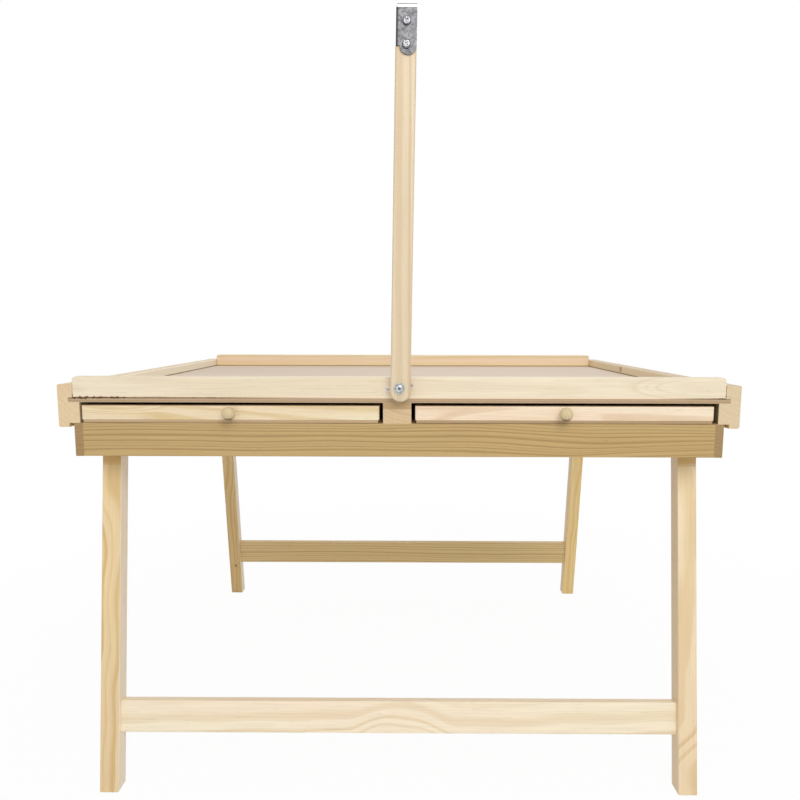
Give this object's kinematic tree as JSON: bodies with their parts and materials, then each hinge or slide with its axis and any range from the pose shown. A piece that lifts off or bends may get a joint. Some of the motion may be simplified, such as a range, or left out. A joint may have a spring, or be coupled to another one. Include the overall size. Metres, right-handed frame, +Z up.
{
  "type": "jigsaw puzzle table",
  "caption": "Folding wooden table with a rimmed puzzle tray, shallow knobbed drawers under it, folding splayed leg frames and a swinging wooden arm with a steel angle bracket.",
  "frame": {"origin": "on the floor under the middle of the table", "axes": "+X to the right along the table's long side, +Y from the front, where the arm is, to the rear, +Z up"},
  "size_m": [0.885, 0.7191, 1.0144],
  "materials": {
    "pine": "sanded pine, thin clear coat",
    "rail_pine": "sanded pine, thin clear coat",
    "rim_pine": "pale sanded pine, thin clear coat",
    "apron_pine": "darker sanded pine with a straight grain",
    "leg_pine": "sanded pine, thin clear coat",
    "arm_pine": "sanded pine, thin clear coat",
    "drawer_pine": "sanded pine, thin clear coat",
    "knob_beech": "turned beech, thin clear coat",
    "lining_board": "smooth faced board, matt",
    "thin_ply": "thin plywood, matt",
    "zinc_steel": "zinc plated",
    "galvanised_steel": "galvanised sheet with a mottled spangle"
  },
  "bodies": {
    "table_frame": {"left_side_rail": "rail_pine", "right_side_rail": "rail_pine", "tray_board": "thin_ply", "tray_lining": "lining_board", "front_rim": "rim_pine", "rear_rim": "rim_pine", "centre_beam": "pine", "front_apron": "apron_pine", "rear_apron": "apron_pine", "left_apron": "apron_pine", "right_apron": "apron_pine", "bottom_panel": "thin_ply", "left_drawer_stop": "pine", "right_drawer_stop": "pine", "front_left_corner_block": "pine", "front_right_corner_block": "pine", "rear_left_corner_block": "pine", "rear_right_corner_block": "pine", "leg_pivot_bolts": "zinc_steel", "leg_pivot_washers": "zinc_steel", "leg_pivot_nuts": "zinc_steel", "pivot_plate": "zinc_steel", "plate_screws": "zinc_steel", "arm_bolt": "zinc_steel", "arm_washers": "zinc_steel"},
    "front_leg_frame": {"front_left_leg": "leg_pine", "front_right_leg": "leg_pine", "front_stretcher": "leg_pine"},
    "rear_leg_frame": {"rear_left_leg": "leg_pine", "rear_right_leg": "leg_pine", "rear_stretcher": "leg_pine"},
    "front_left_drawer": {"front_left_drawer_front": "drawer_pine", "front_left_drawer_inner_side": "drawer_pine", "front_left_drawer_outer_side": "drawer_pine", "front_left_drawer_back": "drawer_pine", "front_left_drawer_base": "thin_ply", "front_left_drawer_knob": "knob_beech"},
    "front_right_drawer": {"front_right_drawer_front": "drawer_pine", "front_right_drawer_inner_side": "drawer_pine", "front_right_drawer_outer_side": "drawer_pine", "front_right_drawer_back": "drawer_pine", "front_right_drawer_base": "thin_ply", "front_right_drawer_knob": "knob_beech"},
    "rear_left_drawer": {"rear_left_drawer_front": "drawer_pine", "rear_left_drawer_inner_side": "drawer_pine", "rear_left_drawer_outer_side": "drawer_pine", "rear_left_drawer_back": "drawer_pine", "rear_left_drawer_base": "thin_ply", "rear_left_drawer_knob": "knob_beech"},
    "rear_right_drawer": {"rear_right_drawer_front": "drawer_pine", "rear_right_drawer_inner_side": "drawer_pine", "rear_right_drawer_outer_side": "drawer_pine", "rear_right_drawer_back": "drawer_pine", "rear_right_drawer_base": "thin_ply", "rear_right_drawer_knob": "knob_beech"},
    "arm": {"swing_arm": "arm_pine", "arm_bracket": "galvanised_steel", "bracket_screws": "zinc_steel"}
  },
  "joints": [
    {"name": "front_legs_fold", "type": "hinge", "parent": "table_frame", "child": "front_leg_frame", "pos_m": [0, -0.2785, 0.4915], "axis": [1, 0, 0], "range_deg": [0, 97.8]},
    {"name": "rear_legs_fold", "type": "hinge", "parent": "table_frame", "child": "rear_leg_frame", "pos_m": [0, 0.28086, 0.4745], "axis": [-1, 0, 0], "range_deg": [0, 89.2]},
    {"name": "front_left_drawer_slide", "type": "slide", "parent": "table_frame", "child": "front_left_drawer", "axis": [0, -1, 0], "range_m": [0, 0.22]},
    {"name": "front_right_drawer_slide", "type": "slide", "parent": "table_frame", "child": "front_right_drawer", "axis": [0, -1, 0], "range_m": [0, 0.22]},
    {"name": "rear_left_drawer_slide", "type": "slide", "parent": "table_frame", "child": "rear_left_drawer", "axis": [0, 1, 0], "range_m": [0, 0.22]},
    {"name": "rear_right_drawer_slide", "type": "slide", "parent": "table_frame", "child": "rear_right_drawer", "axis": [0, 1, 0], "range_m": [0, 0.22]},
    {"name": "arm_swing", "type": "hinge", "parent": "table_frame", "child": "arm", "pos_m": [0.0013, -0.34, 0.5559], "axis": [0, 1, 0], "range_deg": [-90.85, 89.15]}
  ]
}
